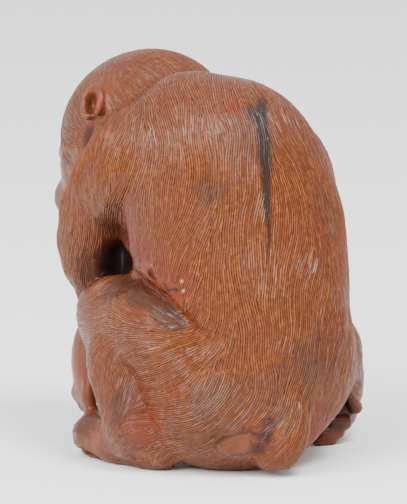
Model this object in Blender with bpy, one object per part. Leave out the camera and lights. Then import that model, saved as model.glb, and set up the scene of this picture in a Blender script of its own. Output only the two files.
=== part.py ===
"""Okimono of a seated monkey, carved from one block of wood.

The figure faces -Y with its left side at +X and rests on Z = 0. It is one closed body: round forms
are measured as distance fields, run together, cut back, meshed on a grid and sawn flat underneath.
Places and radii of the forms are drawn in millimetres, for a figure DRAWN_HEIGHT tall.
"""
import math

import bmesh
import bpy
import numpy as np
from mathutils import Matrix, Vector

# Finished height in metres, and the height and the middle in plan of the figure as it is drawn
HEIGHT = 0.0792
DRAWN_HEIGHT = 79.2
DRAWN_MIDDLE = (-0.55, -8.2, 0.0)
MM = HEIGHT / DRAWN_HEIGHT

# Grid that the forms are measured on, and how far its net is smoothed and thinned
GRID_STEP = 0.6
GRID_LOW = (-37.0, -46.0, -3.0)
GRID_HIGH = (37.0, 30.0, 81.0)
OUTSIDE = 50.0
FILL_DEPTH = 0.2
SMOOTH_COUNT = 2
SMOOTH_SHARE = 0.5
FACE_BUDGET = 9600

# Head: its middle, the way it turns, bows and tilts in degrees, and the set of its ears
HEAD_CENTRE = (10.7, -25.4, 61.4)
HEAD_YAW = 38.5
HEAD_PITCH = 33.4
HEAD_ROLL = 23.6
EAR_FLARE = 25.0
EAR_LEAN = 18.0
EAR_RIM_STEPS = 12

STAIN = (0.30, 0.10, 0.045, 1.0)
ROUGHNESS = 0.5


def turned(yaw, pitch, roll):
    """Axes of a head: left, forward and up, as rows."""
    yaw, pitch, roll = (math.radians(v) for v in (yaw, pitch, roll))
    forward = Vector((math.sin(yaw) * math.cos(pitch), -math.cos(yaw) * math.cos(pitch), -math.sin(pitch)))
    level = Vector((0, 0, 1)).cross(forward).normalized()
    left = level * math.cos(roll) + forward.cross(level) * math.sin(roll)
    return np.array((left, forward, forward.cross(left)))


HEAD_AXES = turned(HEAD_YAW, HEAD_PITCH, HEAD_ROLL)


def on_head(left, forward, up):
    """Place measured from the middle of the head along its own axes."""
    return tuple(np.array(HEAD_CENTRE) + np.array((left, forward, up)) @ HEAD_AXES)


class Ball:
    """An ellipsoid with its radii along the rows of axes."""

    def __init__(self, centre, radii, axes=None, blend=3.0, cut=False):
        self.centre = np.array(centre, float)
        self.radii = np.array(radii, float) if np.ndim(radii) else np.full(3, float(radii))
        self.axes = np.eye(3) if axes is None else np.array(axes)
        self.blend = blend
        self.cut = cut
        self.low = self.centre - self.radii.max()
        self.high = self.centre + self.radii.max()

    def distance(self, points):
        local = (points - self.centre) @ self.axes.T
        scaled = np.linalg.norm(local / self.radii, axis=-1)
        slope = np.linalg.norm(local / self.radii ** 2, axis=-1)
        return scaled * (scaled - 1.0) / np.maximum(slope, 1e-9)


class Limb:
    """A chain of cones with round ends, through points with a radius at each."""

    def __init__(self, points, radii, blend=3.0, soft=1.5, cut=False):
        self.points = np.array(points, float)
        self.radii = np.array(radii, float)
        self.blend = blend
        self.soft = soft
        self.cut = cut
        self.low = (self.points - self.radii[:, None]).min(axis=0)
        self.high = (self.points + self.radii[:, None]).max(axis=0)

    def distance(self, points):
        result = None
        for start, end, first, last in zip(self.points, self.points[1:], self.radii, self.radii[1:]):
            along = end - start
            share = np.clip((points - start) @ along / (along @ along), 0.0, 1.0)
            gap = np.linalg.norm(points - start - share[..., None] * along, axis=-1)
            part = gap - first - (last - first) * share
            result = part if result is None else smooth_low(result, part, self.soft)
        return result


class Group:
    """Forms run together among themselves before they join the rest."""

    def __init__(self, forms, blend=1.0):
        self.forms = forms
        self.blend = blend
        self.cut = False
        self.low = np.min([form.low for form in forms], axis=0)
        self.high = np.max([form.high for form in forms], axis=0)

    def distance(self, points):
        field = self.forms[0].distance(points)
        for form in self.forms[1:]:
            field = add_form(field, form.distance(points), form)
        return field


def add_form(field, distance, form):
    """Run a form together with the field, or cut it away."""
    if form.cut:
        return -smooth_low(-field, distance, form.blend)
    return smooth_low(field, distance, form.blend)


def smooth_low(one, other, reach):
    """The lower of two fields, run together where they differ by less than reach."""
    share = np.maximum(reach - np.abs(one - other), 0.0) / max(reach, 1e-6)
    return np.minimum(one, other) - share * share * reach * 0.25


def facing(normal):
    """Axes whose third row is the normal, with the first row level."""
    normal = Vector(normal).normalized()
    side = Vector((0, 0, 1)).cross(normal).normalized()
    return np.array((side, normal.cross(side), normal))


def torso():
    """Rump, back, belly and chest, the shoulders and the haunches."""
    return [
        Ball((-0.5, 4, 20), (20.5, 19.5, 20), blend=0),
        Ball((2.4, 8, 10.5), (16.6, 15, 11.5), blend=3),
        Ball((-1.2, 2, 32), (20.4, 20, 19), blend=4),
        Ball((-0.8, -2, 42), (22.2, 20, 28), blend=4),
        Ball((1.4, -3.6, 57.6), (19.2, 17.3, 18.6), blend=4),
        Ball((1.2, -11, 36), (17.4, 16, 22), blend=4),
        Ball((15.6, -9.2, 57.2), (12.5, 12.2, 13.6), blend=5),
        Ball((7.6, -8.3, 66.2), 10.6, blend=4),
        Ball((-12.0, -11, 52.6), (12.2, 11, 13.8), blend=5),
        Ball((-10.2, 4, 20.2), (12.2, 14.5, 13.8), blend=4),
        Ball((10.6, 8, 13.4), 11.8, blend=4),
    ]


def left_leg():
    """Raised knee: haunch and thigh, a fold over the flank, shin, foot on the floor."""
    fold = [(20.2, -1, 37.6), (20.3, 5.3, 35.6), (18.8, 9.2, 33.6), (16.8, 12.8, 31.3), (13.6, 17.0, 28.6)]
    thigh = Group([
        Limb([(11.0, 8, 13.4), (16.4, -0.6, 22.9), (22.4, -12, 28.2)], [12.0, 7.6, 6.7], soft=2.5),
        Limb([(11.5, 9.2, 15.0), (18.5, 4.8, 24.6), (22.0, -8, 27.6)], [11.5, 7.2, 6.5], blend=2.5, soft=2.5),
        Limb([(21.6, -11, 29.2), (22.2, -5.4, 30.2), (22.2, 2.2, 29.6), (20.4, 7.6, 27.6), (16.4, 12.4, 23.6),
              (9.5, 13.0, 16.0)], [5.8, 5.6, 5.4, 5.2, 4.6, 6.0], blend=5, soft=3),
    ], blend=1.0)
    return [
        Limb(fold, [0.7, 0.8, 0.8, 0.7, 0.3], blend=2, cut=True),
        thigh,
        Limb([(22.2, -11, 25.0), (24.8, -1.8, 21.6)], [5.0, 6.2], blend=3.5),
        Limb([(24.3, -1.0, 19.2), (22.5, 4.4, 8.9), (18.5, 6.8, 5.0)], [6.7, 6.6, 5.2], blend=0.7),
        Limb([(20.0, 3.5, 4.4), (24.0, -2.4, 4.6), (27.0, -9.5, 4.3)], [4.7, 4.8, 4.4], blend=3),
    ]


def left_toes():
    """Four toes that curl under at their tips, and the big toe apart from them."""
    toes = [Limb([(29.6, -10.6, 1.6), (28.9, -8.0, 2.2), (27.6, -5.0, 1.2)], [1.1, 1.0, 0.8], blend=0.6, cut=True)]
    for place in range(4):
        base = np.array((27.4 - 2.0 * place, -10.8 - 1.4 * place, 4.8))
        knuckle = base + (1.0, -2.7, 0.2)
        tip = base + (0.9, -3.0, -2.9)
        toes.append(Limb([base, knuckle, tip], [1.7, 1.4, 1.15], blend=0.6, soft=0.8))
    toes.append(Limb([(21.0, -6.0, 4.0), (17.0, -9.5, 3.8), (15.6, -13.5, 2.4)], [2.6, 2.0, 1.6], blend=1.2))
    return toes


def right_leg():
    """Folded under: thigh forward, shin back along the floor, foot on its outer edge."""
    return [
        Limb([(-12, -2, 17), (-19, -9, 18), (-24.6, -26, 11.5)], [12, 10, 7.8], blend=1.5, soft=3),
        Limb([(-24.2, -27, 6.6), (-26.0, -16, 8.8), (-25.6, -10, 12.8)], [6.9, 6.0, 5.2], blend=2),
        Limb([(-25.6, -9.5, 9.5), (-24.4, -8.4, 6), (-22.0, -7.8, 2.8)], [4.7, 4.0, 3.2], blend=1.5),
    ]


def right_toes():
    """Toes laid back against the rump, one behind the other."""
    bases = [(-26.9, -3.8, 7.4), (-24.6, -3.9, 4.4), (-23.1, -4.2, 2.5), (-21.6, -4.6, 1.0)]
    tips = [(-25.0, -2.8, 10.1), (-21.5, -2.9, 5.1), (-19.7, -3.2, 2.9), (-18.7, -4.2, 1.0)]
    return [Limb([base, tip], [1.5, 1.1], blend=0.6) for base, tip in zip(bases, tips)]


def left_arm():
    """Upper arm down in front of the knee, forearm behind it, hand on the foot."""
    fingers = []
    for place in range(4):
        base = np.array((26.4, -13.4 - 2.0 * place, 14.6))
        middle = base + (0.5, 0.4, -3.4)
        tip = base + (-0.4, 1.0, -6.4)
        fingers.append(Limb([base, middle, tip], [1.4, 1.2, 0.95], blend=0.5))
    return [
        Limb([(18.7, -12.1, 58.3), (20.8, -16, 53.5), (22.9, -19.6, 48), (23.6, -21.7, 42), (23.4, -21.5, 37.5)],
             [8.8, 8.3, 7.2, 6.4, 5.8], blend=2),
        Limb([(23.9, 0.0, 54.9), (24.2, -1.8, 51.7), (24.1, -4.4, 48.1), (23.2, -8.2, 43.3)], [0.3, 0.9, 1.9, 2.4],
             blend=3.5, cut=True),
        Limb([(22.9, -5.0, 39.5), (20.2, -12.5, 38.4)], [2.7, 2.6], blend=1.2, cut=True),
        Limb([(15.9, -20.6, 44.5), (16.1, -20.0, 40.5), (16.4, -19.2, 36.0)], [3.2, 3.4, 3.2], blend=2),
        Limb([(22.8, -21.5, 37), (21.5, -22, 31), (23.5, -19.5, 24.5)], [5.6, 4.2, 2.8], blend=2),
        Ball((26.2, -17, 18), (2.6, 4.4, 7.4), blend=2),
        Limb([(24.5, -19, 19), (22.0, -20.5, 14)], [1.8, 1.2], blend=1),
    ] + fingers


def right_arm():
    """Upper arm down, hand laid over the right knee."""
    lengths = (6.6, 8.0, 7.6, 6.2)
    fingers = []
    for place, length in enumerate(lengths):
        across = -27.0 + 2.35 * place
        fingers.append(Limb([(across, -32.4, 20.2), (across, -34.9, 17.0), (across + 0.2, -35.4, 19.4 - length)],
                            [1.35, 1.2, 0.95], blend=0.4))
    return [
        Limb([(-13, -15, 56), (-20, -21, 46), (-22, -25, 38)], [9.0, 7.0, 6.2], blend=3),
        Limb([(-22, -25, 37), (-22.6, -29.5, 29), (-23, -30.5, 23.5)], [5.8, 4.2, 3.2], blend=2),
        Ball((-23.4, -31.0, 20.9), (4.8, 3.2, 3.0), blend=1.5),
        Limb([(-20.3, -30.5, 21.4), (-17.4, -32.4, 18.0), (-17.2, -33.0, 15.6)], [1.7, 1.3, 1.0], blend=1),
    ] + fingers


def head():
    """Skull, brow, muzzle, cheeks and jaw, with the eyes, nostrils and mouth cut in."""
    forms = [
        Ball(on_head(-0.3, -0.9, 0.5), (17.0, 18.1, 16.7), HEAD_AXES, blend=0.8),
        Ball(on_head(0, 13, -3.6), (9.0, 6.4, 8.0), HEAD_AXES, blend=4),
        Ball(on_head(0, 17.5, -4.0), (6.6, 6.7, 5.2), HEAD_AXES, blend=1.5),
        Ball(on_head(0, 15.6, -7.8), (5.2, 6.3, 3.3), HEAD_AXES, blend=2),
        Limb([on_head(-7.0, 13.4, 3.2), on_head(-3.6, 16.6, 4.7), on_head(0, 17.2, 4.4), on_head(3.6, 16.6, 4.7),
              on_head(7.0, 13.4, 3.2)], [1.1, 1.7, 1.4, 1.7, 1.1], blend=2.2),
        Limb([on_head(0, 17.2, 3.4), on_head(0, 21.8, -1.0)], [1.4, 1.9], blend=1.5),
        Limb([on_head(-5.5, 20.6, -5.2), on_head(-3.4, 22.8, -6.1), on_head(0, 24.0, -6.0),
              on_head(3.4, 22.8, -6.1), on_head(5.5, 20.6, -5.2)], [0.4, 0.55, 0.6, 0.55, 0.4],
             blend=0.8, cut=True),
    ]
    for side in (-1, 1):
        forms += [
            Ball(on_head(side * 4.0, 18.9, 1.7), (2.8, 1.9, 2.1), HEAD_AXES, blend=0.8, cut=True),
            Ball(on_head(side * 3.9, 16.6, 1.7), (2.2, 2.0, 1.8), HEAD_AXES, blend=0.3),
            Limb([on_head(side * 1.7, 17.4, 1.6), on_head(side * 3.8, 18.3, 2.7), on_head(side * 6.1, 16.6, 1.5)],
                 [0.4, 0.6, 0.4], blend=0.4),
            Ball(on_head(side * 1.1, 23.6, -1.6), 0.75, HEAD_AXES, blend=0.5, cut=True),
            Limb([on_head(side * 8.8, 9.4, 3.4), on_head(side * 9.4, 9.8, -3.0), on_head(side * 6.8, 11.2, -9.4)],
                 [1.5, 2.1, 1.9], blend=2.5),
        ]
    return forms


def ears():
    """Cups with a raised rim, deepest at the front, the rim standing off the head behind."""
    forms = []
    flare = math.radians(EAR_FLARE)
    lean = math.radians(EAR_LEAN)
    left, forward, up = HEAD_AXES
    for side in (1, -1):
        out = side * left * math.cos(flare) - forward * math.sin(flare)
        ahead = forward * math.cos(flare) + side * left * math.sin(flare)
        tall = up * math.cos(lean) - ahead * math.sin(lean)
        wide = ahead * math.cos(lean) + up * math.sin(lean)
        middle = np.array(on_head(side * 16.7, -2.4, 1.7))
        axes = np.array((out, wide, tall))
        rim = []
        for step in range(EAR_RIM_STEPS + 1):
            angle = math.radians(-60 + 285 * step / EAR_RIM_STEPS)
            rim.append(middle + out * (0.9 - 0.6 * math.cos(angle)) + wide * 1.9 * math.cos(angle)
                       + tall * 3.2 * math.sin(angle))
        forms += [
            Ball(middle - out * 0.4, (1.4, 2.0, 3.2), axes, blend=0.6),
            Limb(rim, [0.8] * len(rim), blend=0.4, soft=0.3),
            Ball(middle + out * 1.2 + wide * 0.5, (2.6, 1.2, 2.4), axes, blend=0.3, cut=True),
        ]
    return forms


def rear():
    """Tail curled in under the rump, and the bare seat pad beside it."""
    return [
        Limb([(-3.0, 17.4, 17.0), (-2.8, 20.6, 11.4), (-2.2, 21.6, 7.8), (-1.0, 21.2, 5.4), (1.2, 20.4, 4.3)],
             [3.4, 4.2, 4.4, 4.2, 3.2], blend=1.4),
        Ball((7.4, 20.8, 5.9), (4.2, 2.6, 1.4), facing((0.28, 0.82, -0.49)), blend=0.3),
    ]


def figure():
    """All forms in the order in which they are added and cut."""
    return (torso() + head() + ears() + right_leg() + right_toes() + right_arm() + left_arm()
            + left_leg() + left_toes() + rear())


def field_of(forms, low, high, step):
    """Distance field of all forms on a grid from low to high."""
    counts = [int(math.ceil((b - a) / step)) + 1 for a, b in zip(low, high)]
    lines = [a + step * np.arange(n) for a, n in zip(low, counts)]
    field = np.full(counts, OUTSIDE)
    for form in forms:
        margin = form.blend + 3 * step
        window = tuple(slice(int(np.searchsorted(line, form.low[axis] - margin)),
                             int(np.searchsorted(line, form.high[axis] + margin)))
                       for axis, line in enumerate(lines))
        points = np.stack(np.meshgrid(*(line[part] for line, part in zip(lines, window)), indexing="ij"), axis=-1)
        field[window] = add_form(field[window], form.distance(points), form)
    return field


def mended(field, step):
    """Fill grid cells where a net would touch itself, along an edge or at a point."""
    filled = -FILL_DEPTH * step
    touching = True
    while touching:
        touching = False
        for axis in range(3):
            view = np.moveaxis(field, axis, 0)
            corners = (view[:, :-1, :-1], view[:, 1:, :-1], view[:, 1:, 1:], view[:, :-1, 1:])
            for turn in (0, 1):
                first, second, third, fourth = corners[turn:] + corners[:turn]
                alternate = (first < 0) & (third < 0) & (second >= 0) & (fourth >= 0)
                touching = touching or bool(alternate.any())
                second[alternate] = filled
                fourth[alternate] = filled
        ends = (slice(None, -1), slice(1, None))
        corners = [field[ends[i], ends[j], ends[k]] for i in (0, 1) for j in (0, 1) for k in (0, 1)]
        inside = sum((corner < 0).astype(int) for corner in corners)
        for first, last in zip(corners[:4], corners[:3:-1]):
            apart = ((first < 0) & (last < 0) & (inside == 2)) | ((first >= 0) & (last >= 0) & (inside == 6))
            touching = touching or bool(apart.any())
            for corner in corners:
                corner[apart & (corner >= 0)] = filled
    return field


def net(field, low, step):
    """Closed quad mesh where the field crosses zero: one vertex a cell, one quad a crossed grid edge."""
    cells = np.array(field.shape) - 1
    sums = np.zeros((cells.prod(), 3))
    counts = np.zeros(cells.prod())
    quads = []
    for axis in range(3):
        near = np.moveaxis(field, axis, 0)[:-1]
        far = np.moveaxis(field, axis, 0)[1:]
        place = np.argwhere((near < 0) != (far < 0))
        first = near[tuple(place.T)]
        second = far[tuple(place.T)]
        place = np.insert(place[:, 1:], axis, place[:, 0], axis=1)
        crossing = place.astype(float)
        crossing[:, axis] += first / (first - second)
        one, two = (axis + 1) % 3, (axis + 2) % 3
        ring = []
        for step_one, step_two in ((0, 0), (1, 0), (1, 1), (0, 1)):
            cell = place.copy()
            cell[:, one] -= step_one
            cell[:, two] -= step_two
            index = np.ravel_multi_index(cell.T, cells)
            ring.append(index)
            counts += np.bincount(index, minlength=len(counts))
            for part in range(3):
                sums[:, part] += np.bincount(index, crossing[:, part], minlength=len(counts))
        ring = np.stack(ring, axis=1)
        ring[first > 0] = ring[first > 0][:, ::-1]
        quads.append(ring)
    quads = np.concatenate(quads)
    used = np.flatnonzero(counts)
    renumber = np.full(len(counts), -1)
    renumber[used] = np.arange(len(used))
    vertices = np.array(low) + step * sums[used] / counts[used, None]
    return vertices, renumber[quads]


def carve():
    """Mesh of the whole figure, with its middle over the origin."""
    field = mended(field_of(figure(), GRID_LOW, GRID_HIGH, GRID_STEP), GRID_STEP)
    vertices, quads = net(field, GRID_LOW, GRID_STEP)
    mesh = bpy.data.meshes.new("monkey")
    mesh.from_pydata(((vertices - DRAWN_MIDDLE) * MM).tolist(), [], quads.tolist())
    return mesh


def wood():
    """Red-brown stained wood."""
    material = bpy.data.materials.new("stained wood")
    material.use_nodes = True
    shader = material.node_tree.nodes["Principled BSDF"]
    shader.inputs["Base Color"].default_value = STAIN
    shader.inputs["Roughness"].default_value = ROUGHNESS
    return material


def floor_saw():
    """A wide block below the floor, which takes off everything under Z = 0."""
    mesh = bpy.data.meshes.new("floor_saw")
    block = bmesh.new()
    bmesh.ops.create_cube(block, size=2 * HEIGHT, matrix=Matrix.Translation((0, 0, -HEIGHT)))
    block.to_mesh(mesh)
    block.free()
    saw = bpy.data.objects.new("floor_saw", mesh)
    bpy.context.scene.collection.objects.link(saw)
    saw.hide_render = True
    saw.display_type = "WIRE"
    return saw


def main():
    """Carve the figure, smooth and thin its net, and saw it level underneath."""
    for item in list(bpy.data.objects):
        bpy.data.objects.remove(item)
    mesh = carve()
    mesh.materials.append(wood())
    monkey = bpy.data.objects.new("monkey", mesh)
    bpy.context.scene.collection.objects.link(monkey)
    smooth = monkey.modifiers.new("smooth", "SMOOTH")
    smooth.iterations = SMOOTH_COUNT
    smooth.factor = SMOOTH_SHARE
    reduce = monkey.modifiers.new("reduce", "DECIMATE")
    reduce.ratio = FACE_BUDGET / (2 * len(mesh.polygons))
    saw = monkey.modifiers.new("saw", "BOOLEAN")
    saw.operation = "DIFFERENCE"
    saw.object = floor_saw()


main()
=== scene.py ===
"""Okimono of a seated monkey: the carved wood, its hair strokes and a plain pale studio."""
import math

import bmesh
import bpy
import numpy as np
from bpy.props import FloatProperty, FloatVectorProperty, IntProperty, PointerProperty
from mathutils import Matrix, Vector


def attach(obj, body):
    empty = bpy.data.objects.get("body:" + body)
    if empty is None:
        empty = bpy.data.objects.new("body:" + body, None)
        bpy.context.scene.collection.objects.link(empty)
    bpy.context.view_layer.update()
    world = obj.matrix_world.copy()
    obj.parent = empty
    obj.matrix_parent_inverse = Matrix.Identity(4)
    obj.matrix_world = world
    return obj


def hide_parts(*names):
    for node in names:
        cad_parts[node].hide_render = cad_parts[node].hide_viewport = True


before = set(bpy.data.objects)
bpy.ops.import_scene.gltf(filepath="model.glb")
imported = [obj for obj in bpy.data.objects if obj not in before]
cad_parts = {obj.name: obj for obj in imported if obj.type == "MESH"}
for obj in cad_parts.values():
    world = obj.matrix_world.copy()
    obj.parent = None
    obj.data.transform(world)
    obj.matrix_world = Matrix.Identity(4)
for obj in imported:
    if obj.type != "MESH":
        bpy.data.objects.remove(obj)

bl_info = {
    "name": "Seated monkey okimono",
    "version": (1, 0, 0),
    "blender": (4, 5, 0),
    "location": "3D View > Sidebar > Okimono",
    "description": "Carves a seated monkey with hair strokes, stains its wood and sets it in a pale studio",
    "category": "Object",
}

# Height in metres, then height and middle in plan as the figure is drawn, in millimetres
HEIGHT = 0.0792
DRAWN_HEIGHT = 79.2
DRAWN_MIDDLE = (-0.55, -8.2, 0.0)
MM = HEIGHT / DRAWN_HEIGHT

# Corners of the carving grid, its value far outside, and how deep a cell is filled, as a share of a step
GRID_LOW = (-37.0, -46.0, -3.0)
GRID_HIGH = (37.0, 30.0, 81.0)
OUTSIDE = 50.0
FILL_DEPTH = 0.2

# Middle of the head in drawn millimetres, its turns in degrees, and how the ears stand
HEAD_CENTRE = (10.7, -25.4, 61.4)
HEAD_YAW = 38.5
HEAD_PITCH = 33.4
HEAD_ROLL = 23.6
EAR_FLARE = 25.0
EAR_LEAN = 18.0
EAR_RIM_STEPS = 16

# Ways the hair is combed, in drawn axes
DOWN = (0.0, 0.0, -1.0)
LEFT_SHOULDER_HAIR = (0.3, -0.25, -0.92)
RIGHT_SHOULDER_HAIR = (-0.3, -0.25, -0.92)
LEFT_HAUNCH_HAIR = (-0.35, 0.3, -0.85)
RIGHT_HAUNCH_HAIR = (-0.25, -0.3, -0.9)
LEFT_THIGH_HAIR = (-0.5, 0.82, -0.2)
RIGHT_THIGH_HAIR = (-0.46, -0.87, -0.25)

# Places where the hair is combed at an angle: drawn millimetres, then its rise to the right in degrees
COMBED = (
    (16, -16, 76, 125),
    (24, -7, 66, 70), (11, 5, 71, 85), (-4, 9, 70, 110),
    (27, -6, 58, 80), (19, 5, 61, 80), (8, 12, 64, 80), (-6, 13, 63, 100),
    (27, -14, 43, 85), (19, 6, 49, 85), (8, 15, 54, 80), (-3, 17, 54, 90), (-13, 14, 52, 100),
    (14, 13, 43, 80), (2, 20, 42, 85), (-10, 19, 40, 90),
    (12, 18, 35, 75), (4, 22, 33, 75), (-7, 22, 30, 90), (15, 18, 28, 30), (3, 23, 24, 70), (-9, 23, 22, 85),
    (22, 10, 33, 145), (26, 6, 33, 155), (24, 14, 26, 170),
    (21, 17, 20, 15), (16, 21, 17, 50), (6, 23, 16, 65), (-6, 23, 15, 80), (19, 18, 10, 35), (7, 23, 11, 55),
    (28, -5, 33, 45), (30, 0, 25, 45), (27, 6, 20, 75), (29, 4, 14, 95), (22, 14, 15, 20),
)

# The view those angles are seen in, how far each reaches, and the least that a surface faces the eye
SEEN_RIGHT = (-0.940, 0.342, 0.0)
SEEN_UP = (-0.059, -0.163, 0.985)
COMB_REACH = 5.0
LEAST_FACING = 0.25

# Weight of the forms' own combing beside those places, that of bare forms, and how far forms run together
FORM_COMB = 0.01
BARE_COMB = 0.05
HAIR_BLEND = 1.3

# Size above which hair is cut and over which it deepens, and the same for height above the floor, in metres
HAIRY = 0.2
HAIR_FADE = 0.25
FLOOR_MARGIN = 0.0003
FLOOR_FADE = 0.0008

# In drawn millimetres: roughness of the net, how vertices are put back on the field, and what is on the floor
ROUGH = 0.12
PUT_BACK = 0.4
PUT_BACK_ABOVE = 0.5
ON_FLOOR_BELOW = 0.12

# How far a fold is felt for, in drawn millimetres, to paint shade into it, and how much hair is worn off what
# faces up
CREASE_REACHES = (1.6, 3.2, 6.4)
TOP_WEAR = 0.55

# Splitting: the bend below which an edge may be turned, and how often long edges are cut in two
FLAT = math.radians(14)
SPLIT_ROUNDS = 5

# Strokes: how near the ends of an edge a cut may lie, how far it strays, and how well the ways must agree
CUT_MARGIN = 0.04
CUT_STRAY = 0.2
LEAST_AGREEMENT = 0.3
STRAY_ROUNDS = (3, 12)
STROKE_SPREAD = 3.2
SHARP_ABOVE = 0.15

# Orders of a triangle's corners, the first three in its own turn and the last three against it
ORDERS = ((0, 1, 2), (1, 2, 0), (2, 0, 1), (0, 2, 1), (2, 1, 0), (1, 0, 2))

# Patches of each kind: place in drawn millimetres, radius and strength
PATCHES = {
    # Dark patches: mostly painted shade in the gap and under the left arm, in the armpit, in the slot between
    # rump and right toes and in the tail's groove; in the armpit partly stain
    "dark": (
        ((19.5, -15.5, 37.5), 4.6, 1.3), ((24.5, -15.5, 36.5), 4.5, 0.45), ((22, -9.5, 46), 4, 0.5),
        ((24, -5.5, 50.5), 3, 0.35), ((24.5, -10.5, 41.5), 3.5, 0.35), ((24.5, -17, 63), 2, 0.75),
        ((-22, -2.5, 7.5), 4, 0.9), ((2, 23.5, 11), 1.2, 0.7), ((2.5, 23, 8.5), 1.4, 0.85),
        ((4, 23, 6), 1.2, 0.8),
    ),
    "red": (
        # The first three, on the flank beside the thigh fold, are painted shade
        ((16.5, 9.5, 37.5), 5, 0.8), ((18.5, 3.5, 40.5), 5, 0.8), ((20.5, -3.5, 45.5), 4.5, 0.7),
        ((23, 10.5, 9.5), 4.5, 0.8), ((23.5, 8, 14.5), 3.5, 0.6), ((-10.5, 18.5, 8.5), 5, 0.9),
        ((18.5, 17, 19), 2, 0.7), ((27.5, -16.5, 14.5), 4, 0.6), ((26.5, -0.5, 4.5), 5, 0.5),
        ((13.5, 13.5, 31.5), 3, 0.6), ((3, 7.5, 71.5), 1.8, 0.9), ((24, -15, 70), 3, 0.5),
    ),
    "top": (((20.5, 6, 35), 4.2, 1.1), ((18, 11.5, 32), 3.6, 1.1), ((24, -1.5, 35.5), 4.2, 0.8)),
    "grey": (
        # The patch at (29, -7.5, 7) on the left foot is painted shadow
        ((10.5, 12.5, 56.5), 4, 0.5), ((26.5, 8.5, 13.5), 4.4, 0.7), ((29, -7.5, 7), 2.8, 0.9),
        ((-10.5, 20.5, 23.5), 7, 0.5), ((-14.5, 12.5, 49.5), 7, 0.4), ((1.5, 10.5, 65.5), 6, 0.5),
        ((25.5, -8.5, 57.5), 4, 0.4), ((16.5, 16.5, 11.5), 6, 0.4),
    ),
    "pale": (
        ((16, 12, 38.5), 0.5, 0.8), ((16, 12.5, 36.5), 0.45, 0.8), ((15.5, 12.5, 35), 0.4, 0.8),
        ((10.5, 20.5, 21.5), 0.5, 0.5),
    ),
    "worn": (
        ((19.5, -15.5, 37.5), 5, 1), ((10, 21, 6.5), 1.5, 1.1), ((7.5, 22.5, 7), 1.6, 1.1),
        ((5.5, 23, 7.5), 1.4, 1.1),
    ),
    "pad": (((10, 21, 6.5), 1.8, 1), ((7.5, 22.5, 7), 1.9, 1), ((5.5, 23, 7.5), 1.7, 1)),
    "ochre": (
        ((25.5, -7, 57.5), 8, 1), ((-1, 26, 9), 6, 1), ((26, -14, 48), 6, 0.6), ((27.5, 2, 27), 6, 0.6),
    ),
}
COLOURED = ("dark", "red", "grey", "pale", "top", "pad")

# The yellower back: its middle, its reach along each axis, and the share of the reach where it ends
BACK_MIDDLE = (4, 16, 37)
BACK_REACH = (19, 17, 27)
BACK_END = 1.7

# Noise in the stain, in swells a metre, and how the grain is stretched
BROAD_SWELLS = 34.0
SWELLS = 110.0
GRAIN = 900.0
FLECKS = 1100.0
SPECKS = 2600.0
GRAIN_STRETCH = (1.0, 1.0, 0.12)

# Middle line of the dark streak down the back: height and sideways place in millimetres
STREAK = ((72.5, -2.45), (67.2, -0.75), (62.6, -0.25), (56.4, 0.05), (48.7, 0.35), (42.7, 1.05))

# The streak in metres: half its width, its gain upwards and by chance, its ends, and the smudge beside it
STREAK_HALF = 0.0004
STREAK_GAIN = 0.0013
STREAK_GAIN_HEIGHTS = (0.044, 0.066)
STREAK_CHANCE = 0.0018
STREAK_WOBBLE = (0.0018, 0.0012)
STREAK_FOOT = (0.036, 0.050)
STREAK_HEAD = (0.0745, 0.0715)
BEHIND = (0.0, 0.006)
SMUDGE_MIDDLE = (0.00045, 0.0705)
SMUDGE_REACH = (0.0016, 0.0022)

# Middle of the picture and half the floor in metres, and each lamp's place, size and share of the key light
PICTURE_TARGET = (0.00442, -0.00075, 0.04018)
FLOOR_HALF = 4.0
LAMPS = (("side", (0.85, 0.50, 0.75), 0.9, 1.0), ("top", (-0.15, 0.45, 0.85), 0.35, 0.45))
SENSOR = 36.0


def turned(yaw, pitch, roll):
    """Axes of a head: left, forward and up, as rows."""
    yaw, pitch, roll = (math.radians(v) for v in (yaw, pitch, roll))
    forward = Vector((math.sin(yaw) * math.cos(pitch), -math.cos(yaw) * math.cos(pitch), -math.sin(pitch)))
    level = Vector((0, 0, 1)).cross(forward).normalized()
    left = level * math.cos(roll) + forward.cross(level) * math.sin(roll)
    return np.array((left, forward, forward.cross(left)))


HEAD_AXES = turned(HEAD_YAW, HEAD_PITCH, HEAD_ROLL)
HEAD_HAIR = tuple(-0.63 * HEAD_AXES[1] - 1.16 * HEAD_AXES[2])


def on_head(left, forward, up):
    """Place measured from the middle of the head along its own axes."""
    return tuple(np.array(HEAD_CENTRE) + np.array((left, forward, up)) @ HEAD_AXES)


class Ball:
    """An ellipsoid with its radii along the rows of axes. Its hair is combed one way; hair 0 is bare skin."""

    def __init__(self, centre, radii, axes=None, blend=3.0, cut=False, comb=DOWN, hair=0.0):
        self.centre = np.array(centre, float)
        self.radii = np.array(radii, float) if np.ndim(radii) else np.full(3, float(radii))
        self.axes = np.eye(3) if axes is None else np.array(axes)
        self.blend = blend
        self.cut = cut
        self.comb = np.array(comb, float) / np.linalg.norm(comb)
        self.hair = hair
        self.low = self.centre - self.radii.max()
        self.high = self.centre + self.radii.max()

    def distance(self, points):
        local = (points - self.centre) @ self.axes.T
        scaled = np.linalg.norm(local / self.radii, axis=-1)
        slope = np.linalg.norm(local / self.radii ** 2, axis=-1)
        return scaled * (scaled - 1.0) / np.maximum(slope, 1e-9)


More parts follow.
